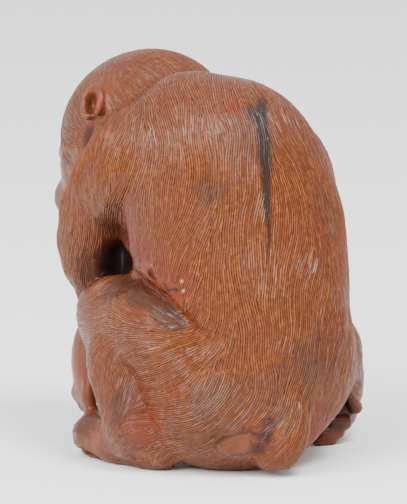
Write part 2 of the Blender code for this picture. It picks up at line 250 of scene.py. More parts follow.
class Limb:
    """A chain of cones with round ends. Its hair runs along it unless it is combed another way."""

    def __init__(self, points, radii, blend=3.0, soft=1.5, cut=False, comb=None, hair=0.0):
        self.points = np.array(points, float)
        self.radii = np.array(radii, float)
        self.blend = blend
        self.soft = soft
        self.cut = cut
        comb = self.points[-1] - self.points[0] if comb is None else np.array(comb, float)
        self.comb = comb / np.linalg.norm(comb)
        self.hair = hair
        self.low = (self.points - self.radii[:, None]).min(axis=0)
        self.high = (self.points + self.radii[:, None]).max(axis=0)

    def distance(self, points):
        result = None
        for start, end, first, last in zip(self.points, self.points[1:], self.radii, self.radii[1:]):
            along = end - start
            share = np.clip((points - start) @ along / (along @ along), 0.0, 1.0)
            gap = np.linalg.norm(points - start - share[..., None] * along, axis=-1)
            part = gap - first - (last - first) * share
            result = part if result is None else smooth_low(result, part, self.soft)
        return result


class Group:
    """Forms run together among themselves before they join the rest."""

    def __init__(self, forms, blend=1.0):
        self.forms = forms
        self.blend = blend
        self.cut = False
        self.comb = forms[0].comb
        self.hair = forms[0].hair
        self.low = np.min([form.low for form in forms], axis=0)
        self.high = np.max([form.high for form in forms], axis=0)

    def distance(self, points):
        field = self.forms[0].distance(points)
        for form in self.forms[1:]:
            field = add_form(field, form.distance(points), form)
        return field


def add_form(field, distance, form):
    """Run a form together with the field, or cut it away."""
    if form.cut:
        return -smooth_low(-field, distance, form.blend)
    return smooth_low(field, distance, form.blend)


def smooth_low(one, other, reach):
    """The lower of two fields, run together where they differ by less than reach."""
    share = np.maximum(reach - np.abs(one - other), 0.0) / max(reach, 1e-6)
    return np.minimum(one, other) - share * share * reach * 0.25


def facing(normal):
    """Axes whose third row is the normal, with the first row level."""
    normal = Vector(normal).normalized()
    side = Vector((0, 0, 1)).cross(normal).normalized()
    return np.array((side, normal.cross(side), normal))


def torso():
    """Rump, back, belly and chest, the shoulders and the haunches."""
    return [
        Ball((-0.5, 4, 20), (20.5, 19.5, 20), blend=0, hair=1),
        Ball((2.4, 8, 10.5), (16.6, 15, 11.5), blend=3, hair=1),
        Ball((-1.2, 2, 32), (20.4, 20, 19), blend=4, hair=1),
        Ball((-0.8, -2, 42), (22.2, 20, 28), blend=4, hair=1),
        Ball((1.4, -3.6, 57.6), (19.2, 17.3, 18.6), blend=4, hair=1),
        Ball((1.2, -11, 36), (17.4, 16, 22), blend=4, hair=1),
        Ball((15.6, -9.2, 57.2), (12.5, 12.2, 13.6), blend=5, comb=LEFT_SHOULDER_HAIR, hair=0.9),
        Ball((7.6, -8.3, 66.2), 10.6, blend=4, hair=1),
        Ball((-12.0, -11, 52.6), (12.2, 11, 13.8), blend=5, comb=RIGHT_SHOULDER_HAIR, hair=0.9),
        Ball((-10.2, 4, 20.2), (12.2, 14.5, 13.8), blend=4, comb=RIGHT_HAUNCH_HAIR, hair=0.95),
        Ball((10.6, 8, 13.4), 11.8, blend=4, comb=LEFT_HAUNCH_HAIR, hair=0.85),
    ]


def left_leg():
    """Raised knee: haunch and thigh, a fold over the flank, shin, foot on the floor."""
    fold = [(20.2, -1, 37.6), (20.3, 5.3, 35.6), (18.8, 9.2, 33.6), (16.8, 12.8, 31.3), (13.6, 17.0, 28.6)]
    thigh = Group([
        Limb([(11.0, 8, 13.4), (16.4, -0.6, 22.9), (22.4, -12, 28.2)], [12.0, 7.6, 6.7], soft=2.5,
             comb=LEFT_THIGH_HAIR, hair=0.8),
        Limb([(11.5, 9.2, 15.0), (18.5, 4.8, 24.6), (22.0, -8, 27.6)], [11.5, 7.2, 6.5], blend=2.5, soft=2.5),
        Limb([(21.6, -11, 29.2), (22.2, -5.4, 30.2), (22.2, 2.2, 29.6), (20.4, 7.6, 27.6), (16.4, 12.4, 23.6),
              (9.5, 13.0, 16.0)], [5.8, 5.6, 5.4, 5.2, 4.6, 6.0], blend=5, soft=3),
    ], blend=1.0)
    return [
        Limb(fold, [0.7, 0.8, 0.8, 0.7, 0.3], blend=2, cut=True),
        thigh,
        Limb([(22.2, -11, 25.0), (24.8, -1.8, 21.6)], [5.0, 6.2], blend=3.5, hair=0.7),
        Limb([(24.3, -1.0, 19.2), (22.5, 4.4, 8.9), (18.5, 6.8, 5.0)], [6.7, 6.6, 5.2], blend=0.7,
             comb=(-0.05, 0.5, -0.8), hair=0.6),
        Limb([(20.0, 3.5, 4.4), (24.0, -2.4, 4.6), (27.0, -9.5, 4.3)], [4.7, 4.8, 4.4], blend=3, hair=0.3),
    ]


def left_toes():
    """Four toes that curl under at their tips, and the big toe apart from them."""
    arch = [(29.6, -10.6, 1.6), (28.9, -8.0, 2.2), (27.6, -5.0, 1.2)]
    toes = [Limb(arch, [1.1, 1.0, 0.8], blend=0.6, cut=True)]
    for place in range(4):
        base = np.array((27.4 - 2.0 * place, -10.8 - 1.4 * place, 4.8))
        knuckle = base + (1.0, -2.7, 0.2)
        tip = base + (0.9, -3.0, -2.9)
        toes.append(Limb([base, knuckle, tip], [1.7, 1.4, 1.15], blend=0.6, soft=0.8))
    toes.append(Limb([(21.0, -6.0, 4.0), (17.0, -9.5, 3.8), (15.6, -13.5, 2.4)], [2.6, 2.0, 1.6], blend=1.2))
    return toes


def right_leg():
    """Folded under: thigh forward, shin back along the floor, foot on its outer edge."""
    return [
        Limb([(-12, -2, 17), (-19, -9, 18), (-24.6, -26, 11.5)], [12, 10, 7.8], blend=1.5, soft=3,
             comb=RIGHT_THIGH_HAIR, hair=0.85),
        Limb([(-24.2, -27, 6.6), (-26.0, -16, 8.8), (-25.6, -10, 12.8)], [6.9, 6.0, 5.2], blend=2,
             comb=(0.07, -0.96, -0.26), hair=0.7),
        Limb([(-25.6, -9.5, 9.5), (-24.4, -8.4, 6), (-22.0, -7.8, 2.8)], [4.7, 4.0, 3.2], blend=1.5),
    ]


def right_toes():
    """Toes laid back against the rump, one behind the other."""
    bases = [(-26.9, -3.8, 7.4), (-24.6, -3.9, 4.4), (-23.1, -4.2, 2.5), (-21.6, -4.6, 1.0)]
    tips = [(-25.0, -2.8, 10.1), (-21.5, -2.9, 5.1), (-19.7, -3.2, 2.9), (-18.7, -4.2, 1.0)]
    return [Limb([base, tip], [1.5, 1.1], blend=0.6) for base, tip in zip(bases, tips)]


def left_arm():
    """Upper arm down in front of the knee, forearm behind it, hand on the foot."""
    fingers = []
    for place in range(4):
        base = np.array((26.4, -13.4 - 2.0 * place, 14.6))
        middle = base + (0.5, 0.4, -3.4)
        tip = base + (-0.4, 1.0, -6.4)
        fingers.append(Limb([base, middle, tip], [1.4, 1.2, 0.95], blend=0.5))
    return [
        Limb([(18.7, -12.1, 58.3), (20.8, -16, 53.5), (22.9, -19.6, 48), (23.6, -21.7, 42),
              (23.4, -21.5, 37.5)], [8.8, 8.3, 7.2, 6.4, 5.8], blend=2, hair=0.8),
        Limb([(23.9, 0.0, 54.9), (24.2, -1.8, 51.7), (24.1, -4.4, 48.1), (23.2, -8.2, 43.3)],
             [0.3, 0.9, 1.9, 2.4], blend=3.5, cut=True),
        Limb([(22.9, -5.0, 39.5), (20.2, -12.5, 38.4)], [2.7, 2.6], blend=1.2, cut=True),
        Limb([(15.9, -20.6, 44.5), (16.1, -20.0, 40.5), (16.4, -19.2, 36.0)], [3.2, 3.4, 3.2], blend=2),
        Limb([(22.8, -21.5, 37), (21.5, -22, 31), (23.5, -19.5, 24.5)], [5.6, 4.2, 2.8], blend=2, hair=0.65),
        Ball((26.2, -17, 18), (2.6, 4.4, 7.4), blend=2),
        Limb([(24.5, -19, 19), (22.0, -20.5, 14)], [1.8, 1.2], blend=1),
    ] + fingers


def right_arm():
    """Upper arm down, hand laid over the right knee."""
    reaches = (6.6, 8.0, 7.6, 6.2)
    fingers = []
    for place, reach in enumerate(reaches):
        across = -27.0 + 2.35 * place
        bones = [(across, -32.4, 20.2), (across, -34.9, 17.0), (across + 0.2, -35.4, 19.4 - reach)]
        fingers.append(Limb(bones, [1.35, 1.2, 0.95], blend=0.4))
    return [
        Limb([(-13, -15, 56), (-20, -21, 46), (-22, -25, 38)], [9.0, 7.0, 6.2], blend=3, hair=0.8),
        Limb([(-22, -25, 37), (-22.6, -29.5, 29), (-23, -30.5, 23.5)], [5.8, 4.2, 3.2], blend=2, hair=0.65),
        Ball((-23.4, -31.0, 20.9), (4.8, 3.2, 3.0), blend=1.5),
        Limb([(-20.3, -30.5, 21.4), (-17.4, -32.4, 18.0), (-17.2, -33.0, 15.6)], [1.7, 1.3, 1.0], blend=1),
    ] + fingers


def head_ball(place, radii, **more):
    """A ball placed and turned along the head's own axes."""
    return Ball(on_head(*place), radii, HEAD_AXES, **more)


def head_limb(places, radii, **more):
    """A limb whose points are measured along the head's own axes."""
    return Limb([on_head(*place) for place in places], radii, **more)


def head():
    """Skull, brow, muzzle, cheeks and jaw, with the eyes, nostrils and mouth cut in."""
    brow = [(-7.0, 13.4, 3.2), (-3.6, 16.6, 4.7), (0, 17.2, 4.4), (3.6, 16.6, 4.7), (7.0, 13.4, 3.2)]
    mouth = [(-5.5, 20.6, -5.2), (-3.4, 22.8, -6.1), (0, 24.0, -6.0), (3.4, 22.8, -6.1), (5.5, 20.6, -5.2)]
    forms = [
        head_ball((-0.3, -0.9, 0.5), (17.0, 18.1, 16.7), blend=0.8, comb=HEAD_HAIR, hair=0.45),
        head_ball((0, 13, -3.6), (9.0, 6.4, 8.0), blend=4),
        head_ball((0, 17.5, -4.0), (6.6, 6.7, 5.2), blend=1.5),
        head_ball((0, 15.6, -7.8), (5.2, 6.3, 3.3), blend=2),
        head_limb(brow, [1.1, 1.7, 1.4, 1.7, 1.1], blend=2.2),
        head_limb([(0, 17.2, 3.4), (0, 21.8, -1.0)], [1.4, 1.9], blend=1.5),
        head_limb(mouth, [0.4, 0.55, 0.6, 0.55, 0.4], blend=0.8, cut=True),
    ]
    for side in (-1, 1):
        lid = [(side * 1.7, 17.4, 1.6), (side * 3.8, 18.3, 2.7), (side * 6.1, 16.6, 1.5)]
        cheek = [(side * 8.8, 9.4, 3.4), (side * 9.4, 9.8, -3.0), (side * 6.8, 11.2, -9.4)]
        forms += [
            head_ball((side * 4.0, 18.9, 1.7), (2.8, 1.9, 2.1), blend=0.8, cut=True),
            head_ball((side * 3.9, 16.6, 1.7), (2.2, 2.0, 1.8), blend=0.3),
            head_limb(lid, [0.4, 0.6, 0.4], blend=0.4),
            head_ball((side * 1.1, 23.6, -1.6), 0.75, blend=0.5, cut=True),
            head_limb(cheek, [1.5, 2.1, 1.9], blend=2.5, comb=HEAD_HAIR, hair=0.55),
        ]
    return forms


def ears():
    """Cups with a raised rim, deepest at the front, the rim standing off the head behind."""
    forms = []
    flare = math.radians(EAR_FLARE)
    lean = math.radians(EAR_LEAN)
    left, forward, up = HEAD_AXES
    for side in (1, -1):
        out = side * left * math.cos(flare) - forward * math.sin(flare)
        ahead = forward * math.cos(flare) + side * left * math.sin(flare)
        tall = up * math.cos(lean) - ahead * math.sin(lean)
        wide = ahead * math.cos(lean) + up * math.sin(lean)
        middle = np.array(on_head(side * 16.7, -2.4, 1.7))
        axes = np.array((out, wide, tall))
        rim = []
        for step in range(EAR_RIM_STEPS + 1):
            angle = math.radians(-60 + 285 * step / EAR_RIM_STEPS)
            rim.append(middle + out * (0.9 - 0.6 * math.cos(angle)) + wide * 1.9 * math.cos(angle)
                       + tall * 3.2 * math.sin(angle))
        forms += [
            Ball(middle - out * 0.4, (1.4, 2.0, 3.2), axes, blend=0.6),
            Limb(rim, [0.8] * len(rim), blend=0.4, soft=0.3),
            Ball(middle + out * 1.2 + wide * 0.5, (2.6, 1.2, 2.4), axes, blend=0.3, cut=True),
        ]
    return forms


def rear():
    """Tail curled in under the rump, and the bare seat pad beside it."""
    return [
        Limb([(-3.0, 17.4, 17.0), (-2.8, 20.6, 11.4), (-2.2, 21.6, 7.8), (-1.0, 21.2, 5.4), (1.2, 20.4, 4.3)],
             [3.4, 4.2, 4.4, 4.2, 3.2], blend=1.4, hair=0.75),
        Ball((7.4, 20.8, 5.9), (4.2, 2.6, 1.4), facing((0.28, 0.82, -0.49)), blend=0.3),
    ]


def figure():
    """All forms in the order in which they are added and cut."""
    return (torso() + head() + ears() + right_leg() + right_toes() + right_arm() + left_arm()
            + left_leg() + left_toes() + rear())


def field_of(forms, low, high, step):
    """Distance field of all forms on a grid from low to high."""
    counts = [int(math.ceil((b - a) / step)) + 1 for a, b in zip(low, high)]
    lines = [a + step * np.arange(n) for a, n in zip(low, counts)]
    field = np.full(counts, OUTSIDE)
    for form in forms:
        margin = form.blend + 3 * step
        window = tuple(slice(int(np.searchsorted(line, form.low[axis] - margin)),
                             int(np.searchsorted(line, form.high[axis] + margin)))
                       for axis, line in enumerate(lines))
        grid = np.meshgrid(*(line[part] for line, part in zip(lines, window)), indexing="ij")
        points = np.stack(grid, axis=-1)
        field[window] = add_form(field[window], form.distance(points), form)
    return field, lines


def mended(field, step):
    """Fill grid cells where a net would touch itself, along an edge or at a point."""
    filled = -FILL_DEPTH * step
    touching = True
    while touching:
        touching = False
        for axis in range(3):
            view = np.moveaxis(field, axis, 0)
            corners = (view[:, :-1, :-1], view[:, 1:, :-1], view[:, 1:, 1:], view[:, :-1, 1:])
            for turn in (0, 1):
                first, second, third, fourth = corners[turn:] + corners[:turn]
                alternate = (first < 0) & (third < 0) & (second >= 0) & (fourth >= 0)
                touching = touching or bool(alternate.any())
                second[alternate] = filled
                fourth[alternate] = filled
        ends = (slice(None, -1), slice(1, None))
        corners = [field[ends[i], ends[j], ends[k]] for i in (0, 1) for j in (0, 1) for k in (0, 1)]
        inside = sum((corner < 0).astype(np.int8) for corner in corners)
        for first, last in zip(corners[:4], corners[:3:-1]):
            apart = ((first < 0) & (last < 0) & (inside == 2)) | ((first >= 0) & (last >= 0) & (inside == 6))
            touching = touching or bool(apart.any())
            for corner in corners:
                corner[apart & (corner >= 0)] = filled
    return field


def net(field, low, step):
    """Closed quad mesh where the field crosses zero: one vertex a cell, one quad a crossed grid edge."""
    cells = np.array(field.shape) - 1
    sums = np.zeros((cells.prod(), 3))
    counts = np.zeros(cells.prod())
    quads = []
    for axis in range(3):
        near = np.moveaxis(field, axis, 0)[:-1]
        far = np.moveaxis(field, axis, 0)[1:]
        place = np.argwhere((near < 0) != (far < 0))
        first = near[tuple(place.T)]
        second = far[tuple(place.T)]
        place = np.insert(place[:, 1:], axis, place[:, 0], axis=1)
        crossing = place.astype(float)
        crossing[:, axis] += first / (first - second)
        one, two = (axis + 1) % 3, (axis + 2) % 3
        ring = []
        for step_one, step_two in ((0, 0), (1, 0), (1, 1), (0, 1)):
            cell = place.copy()
            cell[:, one] -= step_one
            cell[:, two] -= step_two
            index = np.ravel_multi_index(cell.T, cells)
            ring.append(index)
            counts += np.bincount(index, minlength=len(counts))
            for part in range(3):
                sums[:, part] += np.bincount(index, crossing[:, part], minlength=len(counts))
        ring = np.stack(ring, axis=1)
        ring[first > 0] = ring[first > 0][:, ::-1]
        quads.append(ring)
    quads = np.concatenate(quads)
    used = np.flatnonzero(counts)
    renumber = np.full(len(counts), -1)
    renumber[used] = np.arange(len(used))
    vertices = np.array(low) + step * sums[used] / counts[used, None]
    return vertices, renumber[quads]


def sampled(field, lines, points):
    """The field between grid points, at drawn points."""
    step = lines[0][1] - lines[0][0]
    place = (points - np.array([line[0] for line in lines])) / step
    base = np.clip(np.floor(place).astype(int), 0, np.array(field.shape) - 2)
    part = np.clip(place - base, 0.0, 1.0)
    result = np.zeros(len(points))
    for corner in np.ndindex(2, 2, 2):
        weight = np.prod(np.where(corner, part, 1.0 - part), axis=1)
        result += weight * field[tuple((base + corner).T)]
    return result


def nearness(form, points):
    """How near a form is to each point: 1 in or on it, and less away from it."""
    return np.exp(-np.maximum(form.distance(points), 0.0) / HAIR_BLEND)


def hair_sizes(forms, points):
    """Size of the hair at drawn points, from the forms nearest to each; 0 is bare skin."""
    sizes = np.zeros(len(points))
    total = np.full(len(points), 1e-9)
    for form in forms:
        if not form.cut:
            near = nearness(form, points)
            sizes += near * form.hair
            total += near
    return sizes / total


def hair_ways(forms, points, normals):
    """Lie of the hair at drawn points, as a tensor, since hair combed up or down shows alike."""
    lies = np.zeros((len(points), 3, 3))
    for form in forms:
        if not form.cut:
            weight = nearness(form, points) * (BARE_COMB + form.hair) * FORM_COMB
            lies += weight[:, None, None] * np.outer(form.comb, form.comb)
    view = np.cross(SEEN_RIGHT, SEEN_UP)
    facing_view = np.maximum(normals @ view, LEAST_FACING)
    for x, y, z, rise in COMBED:
        near = np.exp(-((points - (x, y, z)) ** 2).sum(axis=1) / COMB_REACH ** 2)
        rise = math.radians(rise)
        seen = math.cos(rise) * np.array(SEEN_RIGHT) + math.sin(rise) * np.array(SEEN_UP)
        way = seen - ((normals @ seen) / facing_view)[:, None] * view
        way /= np.linalg.norm(way, axis=1)[:, None]
        lies += near[:, None, None] * way[:, :, None] * way[:, None, :]
    return laid(lies, normals)


def laid(lies, normals):
    """The lies within the surface, each of strength one."""
    flat = np.eye(3) - normals[:, :, None] * normals[:, None, :]
    lies = flat @ lies @ flat
    return lies / np.maximum(np.trace(lies, axis1=1, axis2=2), 1e-9)[:, None, None]


def patches(kind, points, normals):
    """Strength of the patches of one kind at drawn points.

    Dark ones are mostly painted shade in gaps, folds and under the left arm, and partly stain in the armpit;
    red ones are rubbed down, save those on the flank beside the thigh fold, which are painted shade; grey
    ones are dull, save the one on the left foot, which is painted shadow; pale ones are chips, worn ones
    have lost their hair, pad ones are the bare seat, ochre ones are as yellow as the back, and top ones are
    the grey wear that lies only on what faces up.
    """
    strength = np.zeros(len(points))
    for place, radius, amount in PATCHES[kind]:
        away = np.linalg.norm(points - place, axis=1) / radius
        strength = np.maximum(strength, amount * np.clip(1.6 - away, 0, 1))
    return strength * np.clip(normals[:, 2] * 3 - 0.6, 0, 1) if kind == "top" else strength


def attribute(mesh, name, values):
    """A named value at each vertex."""
    layer = mesh.attributes.new(name, "FLOAT", "POINT")
    layer.data.foreach_set("value", np.asarray(values, np.float32))


def read_values(collection, name, width=3):
    """Values of a mesh's vertices or of an attribute, one row each."""
    values = np.empty(len(collection) * width, np.float32)
    collection.foreach_get(name, values)
    return values.reshape(-1, width).astype(float)


def made_plain(piece, context):
    """Turn what the piece's modifiers make into its own plain mesh."""
    made = bpy.data.meshes.new_from_object(piece.evaluated_get(context.evaluated_depsgraph_get()))
    piece.modifiers.clear()
    piece.data = made
    return made


class Value:
    """A socket that can be used in sums."""

    def __init__(self, tree, socket):
        self.tree = tree
        self.socket = socket

    def maths(self, operation, *others):
        """One Math node on this value and others."""
        return self.tree.add("ShaderNodeMath", {"operation": operation}, dict(enumerate((self,) + others)))

    def __add__(self, other):
        return self.maths("ADD", other)

    def __sub__(self, other):
        return self.maths("SUBTRACT", other)

    def __mul__(self, other):
        return self.maths("MULTIPLY", other)

    def __truediv__(self, other):
        return self.maths("DIVIDE", other)

    def __rsub__(self, other):
        return self.tree.add("ShaderNodeMath", {"operation": "SUBTRACT"}, {0: other, 1: self})

    __radd__ = __add__
    __rmul__ = __mul__

    def clamped(self):
        """The value between 0 and 1."""
        return self.tree.add("ShaderNodeClamp", {}, {0: self})

    def larger(self, other):
        """The larger of two values."""
        return self.maths("MAXIMUM", other)

    def size(self):
        """The value without its sign."""
        return self.maths("ABSOLUTE")

    def ramp(self, low, high):
        """0 below low, 1 above high, and smooth between; low may be the larger one."""
        return self.tree.add("ShaderNodeMapRange", {"interpolation_type": "SMOOTHSTEP"},
                             {0: self, 1: low, 2: high, 3: 0.0, 4: 1.0})


class Tree:
    """Adds nodes to a node tree and joins them."""

    def __init__(self, tree):
        self.tree = tree

    def add(self, kind, settings, inputs, output=0):
        """One node with its settings, and the values or links of its sockets."""
        node = self.tree.nodes.new(kind)
        for name, setting in settings.items():
            setattr(node, name, setting)
        for key, value in inputs.items():
            if isinstance(value, Value):
                self.feed(node, key, value)
            else:
                node.inputs[key].default_value = value
        return Value(self, node.outputs[output])

    def feed(self, node, key, value):
        """Lead a value into a node's socket."""
        self.tree.links.new(value.socket, node.inputs[key])

    def reads(self, name):
        """A value kept at the vertices, in a shader."""
        return self.add("ShaderNodeAttribute", {"attribute_name": name}, {}, "Fac")

    def mix(self, share, first, second):
        """Two colours mixed."""
        return self.add("ShaderNodeMix", {"data_type": "RGBA"}, {0: share, 6: first, 7: second}, 2)

    def noise(self, place, scale, detail=2.0, stretch=(1.0, 1.0, 1.0)):
        """Noise over the figure, with so many swells a metre."""
        place = self.add("ShaderNodeMapping", {}, {"Vector": place, "Scale": stretch})
        return self.add("ShaderNodeTexNoise", {}, {"Vector": place, "Scale": scale, "Detail": detail})


class Stain(Tree):
    """Colours and finish of the stained wood, with painted shade in its folds and gaps, from noise and from
    what is kept at the vertices.
    """

    def __init__(self, tree):
        super().__init__(tree)
        self.colours = bpy.context.scene.okimono_wood
        place = self.add("ShaderNodeTexCoord", {}, {}, "Object")
        apart = self.add("ShaderNodeSeparateXYZ", {}, {0: place}).socket.node
        self.x, self.y, self.z = (Value(self, socket) for socket in apart.outputs)
        self.swell = self.noise(place, SWELLS, 3.0) - 0.5
        self.broad = self.noise(place, BROAD_SWELLS) - 0.5
        self.grain = self.noise(place, GRAIN, 3.0, GRAIN_STRETCH)
        self.specks = self.noise(place, SPECKS)
        self.flecks = self.noise(place, FLECKS)
        self.ridge, self.tone, self.pad = (self.reads(name) for name in ("ridge", "tone", "pad"))
        self.skin = self.reads("bare").ramp(0.35, 0.75)
        self.ochre = (self.reads("ochre") + self.broad * 1.2 + self.swell * 0.4).ramp(0.15, 0.75)
        self.red, self.grey = self.patch("red"), self.patch("grey")
        stroke = self.ridge.ramp(0.0, 0.85) * (0.65 + self.tone * 0.45)
        stroke = stroke + (1.0 - self.ridge) * (0.35 - self.tone * 0.4) + (self.flecks - 0.5) * 0.7
        self.stroke = (0.5 + (stroke - 0.5) * (0.42 + self.reads("size") * 0.7)).clamped()

    def rgb(self, name):
        """A colour of the wood's settings."""
        return (*getattr(self.colours, name), 1.0)

    def patch(self, name, stray=0.5):
        """Share of the patches of one kind, with uneven edges."""
        return (self.reads(name) + self.swell * stray).ramp(0.2, 0.8)

    def tinted(self, rose, back):
        """A colour of the head and limbs, or its like on the back."""
        return self.mix(self.ochre, self.rgb(rose), self.rgb(back))

    def hairy_wood(self):
        """Worn ridges with stained grooves between them."""
        paler = (self.tone - 0.45) * 1.15 + (self.flecks - 0.45) * 1.2 + self.swell * 0.6
        worn = self.mix(paler.clamped(), self.tinted("rose", "ridge"), self.tinted("pale_rose", "pale"))
        worn = self.mix((self.broad + self.swell * 0.6).ramp(0.06, 0.30) * 0.5, worn, self.rgb("grey"))
        worn = self.mix(self.grey * 0.8, worn, self.rgb("grey"))
        worn = self.mix(self.red * 0.75, worn, self.rgb("red"))
        return self.mix(self.stroke, self.tinted("rose_groove", "groove"), worn)

    def bare_wood(self):
        """Smooth wood of the face, hands, feet and seat, with its grain."""
        darker = (self.grain - 0.5) * 0.9 + 0.25 + self.pad * 0.12
        skin = self.mix(darker.clamped(), self.rgb("skin"), self.rgb("shade_and_grain"))
        skin = self.mix(self.grey * 0.7, skin, self.rgb("grey"))
        return self.mix(self.red * 0.6, skin, self.rgb("red"))

    def streak(self):
        """Share of the dark streak down the back and of the smudge beside its top."""
        behind = self.y.ramp(*BEHIND)
        wobble = self.swell * STREAK_WOBBLE[0] + (self.specks - 0.5) * STREAK_WOBBLE[1]
        half = STREAK_HALF + self.z.ramp(*STREAK_GAIN_HEIGHTS) * STREAK_GAIN + self.broad * STREAK_CHANCE
        mark = ((self.x - self.streak_line() + wobble).size() / half).ramp(1.3, 0.45)
        mark = mark * self.z.ramp(*STREAK_FOOT) * self.z.ramp(*STREAK_HEAD) * behind
        mark = mark * (0.78 + (self.tone - self.ridge * 0.3) * 0.5).clamped()
        across = (self.x - SMUDGE_MIDDLE[0]) / SMUDGE_REACH[0]
        down = (self.z - SMUDGE_MIDDLE[1]) / SMUDGE_REACH[1]
        smudge = (across * across + down * down).ramp(1.0, 0.2) * behind
        return (mark + smudge * 0.75).clamped() * 0.93

    def streak_line(self):
        """Sideways place of the dark streak at each height."""
        line = STREAK[-1][1] * MM
        for (top, first), (bottom, second) in zip(STREAK, STREAK[1:]):
            share = ((self.z - bottom * MM) / ((top - bottom) * MM)).clamped()
            line = share * ((first - second) * MM) + line
        return line

    def colour(self):
        """The wood with painted shade in its folds and gaps, and its stains, wear, bare pad, chips and
        streak.
        """
        crease, dark = self.reads("crease"), self.reads("dark") + self.swell * 0.35
        edge = self.pad.ramp(0.18, 0.32) * self.pad.ramp(0.62, 0.42)
        # Painted shade: shut-in folds and the dark patches take the crevice colour, and the deepest gaps are
        # nearly blackened with the streak's colour
        shaded = (crease.ramp(0.35, 1.0) * 0.55).larger(dark.ramp(0.05, 0.6) * 0.85)
        deepest_shade = (crease.ramp(0.85, 1.25) * 0.8).larger(dark.ramp(0.5, 1.15) * 0.95)
        dusty = self.mix(self.stroke, self.rgb("rose_groove"), self.rgb("grey"))
        wood = self.mix(self.skin, self.hairy_wood(), self.bare_wood())
        wood = self.mix(self.patch("top", 0.3) * 0.85, wood, dusty)
        wood = self.mix(shaded, wood, self.rgb("shade_and_grain"))
        wood = self.mix(deepest_shade, wood, self.rgb("streak"))
        wood = self.mix(edge * 0.8, wood, self.rgb("shade_and_grain"))
        wood = self.mix(self.reads("pale").ramp(0.35, 0.8), wood, self.rgb("chip"))
        return self.mix(self.streak(), wood, self.rgb("streak"))

    def roughness(self):
        """Ridges and bare skin are a little shinier than the grooves."""
        return (0.50 - self.skin * 0.05 + (self.specks - 0.5) * 0.25 - self.ridge * 0.14).clamped()

    def bump(self):
        """Fine grain on the skin and pores all over."""
        height = self.grain * self.skin * 0.5 + self.specks * 0.35
        return self.add("ShaderNodeBump", {}, {"Strength": 0.35, "Distance": 0.00006, "Height": height})


def stained_wood():
    """Red-brown stained and waxed wood: worn ridges, dark grooves, bare skin, reddish painted shade in the
    folds, a dark streak.
    """
    material = bpy.data.materials.new("stained_wood")
    material.use_nodes = True
    shader = material.node_tree.nodes["Principled BSDF"]
    stain = Stain(material.node_tree)
    stain.feed(shader, "Base Color", stain.colour())
    stain.feed(shader, "Roughness", stain.roughness())
    stain.feed(shader, "Normal", stain.bump())
    shader.inputs["Specular IOR Level"].default_value = 0.14
    shader.inputs["Coat Weight"].default_value = 0.2
    shader.inputs["Coat Roughness"].default_value = 0.24
    return material


def relief_tree():
    """Geometry nodes that sink the grooves into the carving and set its wood."""
    group = bpy.data.node_groups.new("hair_relief", "GeometryNodeTree")
    sockets = {}
    for name, kind in (("Carving", "NodeSocketGeometry"), ("Depth", "NodeSocketFloat"),
                       ("Wood", "NodeSocketMaterial")):
        sockets[name] = group.interface.new_socket(name, in_out="INPUT", socket_type=kind).identifier
    group.interface.new_socket("Relief", in_out="OUTPUT", socket_type="NodeSocketGeometry")
    tree = Tree(group)
    given = group.nodes.new("NodeGroupInput")
    carving, depth, wood = (Value(tree, given.outputs[name]) for name in sockets)
    sunk = tree.add("GeometryNodeInputNamedAttribute", {"data_type": "FLOAT"}, {"Name": "sunk"})
    normal = tree.add("GeometryNodeInputNormal", {}, {})
    inwards = sunk * depth * -1.0
    offset = tree.add("ShaderNodeVectorMath", {"operation": "SCALE"}, {0: normal, "Scale": inwards})
    moved = tree.add("GeometryNodeSetPosition", {}, {"Geometry": carving, "Offset": offset})
    done = tree.add("GeometryNodeSetMaterial", {}, {"Geometry": moved, "Material": wood})
    tree.feed(group.nodes.new("NodeGroupOutput"), 0, done)
    return group, sockets


def colour(name, description, rgb):
    """A colour that a user may change."""
    return FloatVectorProperty(name=name, description=description, default=rgb, subtype="COLOR", size=3,
                               min=0.0, max=1.0)


def length(name, description, metres):
    """A length that a user may change."""
    return FloatProperty(name=name, description=description, default=metres, precision=5, min=0.0,
                         subtype="DISTANCE", unit="LENGTH")


def angle(name, description, degrees):
    """An angle that a user may change."""
    return FloatProperty(name=name, description=description, default=math.radians(degrees), subtype="ANGLE",
                         unit="ROTATION")


def count(name, description, number):
    """A whole number that a user may change."""
    return IntProperty(name=name, description=description, default=number, min=0)


class CarvingSettings(bpy.types.PropertyGroup):
    """Sizes of the carved figure."""

    grid: length("Carving grid", "Step of the grid that the forms are measured on", 0.00045)
    fine_faces: count("Fine faces", "Triangles of the figure if it had no hair", 60000)
    faces: count("Faces", "Triangles of the figure before its hair is cut", 12000)
    longest: length("Longest edge", "Edges of the carving longer than this are split", 0.0034)
    rounds: count("Smoothing rounds", "Rounds of smoothing over the carved net", 2)
    seed: count("Seed", "Changes how the triangles of the carving fall", 3)


class HairSettings(bpy.types.PropertyGroup):
    """Sizes of the cut hair."""

    spacing: length("Groove spacing", "From one groove to the next where hair is longest", 0.00048)
    depth: length("Groove depth", "Depth of a groove where hair is longest", 0.00016)
    finest: FloatProperty(name="Finest hair", default=0.66, min=0.3, max=1.0, subtype="FACTOR",
                          description="Spacing of the finest hair as a share of the longest")
    wander: angle("Wander", "Angle by which the hair strays from its way", 14.0)
    rounds: count("Combing rounds", "Rounds in which each line falls in with the next", 400)
    stroke_rounds: count("Stroke rounds", "Rounds that run depths together along a line", 2)
    even_rounds: count("Even rounds", "Rounds that run the lie of the hair together", 4)
    seed: count("Seed", "Changes how the strokes fall", 7)


